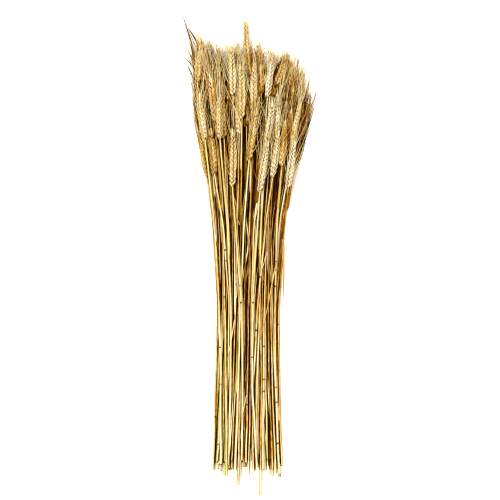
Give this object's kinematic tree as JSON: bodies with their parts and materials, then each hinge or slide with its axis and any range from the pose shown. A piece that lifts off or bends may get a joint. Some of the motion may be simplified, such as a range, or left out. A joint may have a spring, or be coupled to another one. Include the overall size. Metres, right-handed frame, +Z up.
{
  "type": "bunch of dried wheat",
  "caption": "Loose bunch of dried bearded wheat stalks with full heads, lying on its side as a decoration.",
  "frame": {"origin": "under the middle of the bunch's box, on the surface that it lies on", "axes": "+Y along the stalks towards the heads, +X to the right seen from above with the heads up, +Z up from the table"},
  "size_m": [0.193, 0.674, 0.0589],
  "materials": {
    "dried_straw": "matte"
  },
  "bodies": {
    "root": {"stalk_01": "dried_straw", "stalk_02": "dried_straw", "stalk_03": "dried_straw", "stalk_04": "dried_straw", "stalk_05": "dried_straw", "stalk_06": "dried_straw", "stalk_07": "dried_straw", "stalk_08": "dried_straw", "stalk_09": "dried_straw", "stalk_10": "dried_straw", "stalk_11": "dried_straw", "stalk_12": "dried_straw", "stalk_13": "dried_straw", "stalk_14": "dried_straw", "stalk_15": "dried_straw", "stalk_16": "dried_straw", "stalk_17": "dried_straw", "stalk_18": "dried_straw", "stalk_19": "dried_straw", "stalk_20": "dried_straw", "stalk_21": "dried_straw", "stalk_22": "dried_straw", "stalk_23": "dried_straw", "stalk_24": "dried_straw", "stalk_25": "dried_straw", "stalk_26": "dried_straw", "stalk_27": "dried_straw", "stalk_28": "dried_straw", "stalk_29": "dried_straw", "stalk_30": "dried_straw", "stalk_31": "dried_straw", "stalk_32": "dried_straw", "stalk_33": "dried_straw", "stalk_34": "dried_straw", "stalk_35": "dried_straw", "stalk_36": "dried_straw", "stalk_37": "dried_straw", "stalk_38": "dried_straw", "stalk_39": "dried_straw", "stalk_40": "dried_straw", "stalk_41": "dried_straw", "stalk_42": "dried_straw", "stalk_43": "dried_straw", "stalk_44": "dried_straw", "stalk_45": "dried_straw", "stalk_46": "dried_straw", "stalk_47": "dried_straw", "stalk_48": "dried_straw", "stalk_49": "dried_straw", "stalk_50": "dried_straw", "stalk_51": "dried_straw", "stalk_52": "dried_straw", "stalk_53": "dried_straw", "stalk_54": "dried_straw", "stalk_55": "dried_straw", "stalk_56": "dried_straw", "stalk_57": "dried_straw", "stalk_58": "dried_straw", "stalk_59": "dried_straw", "stalk_60": "dried_straw"}
  },
  "joints": []
}
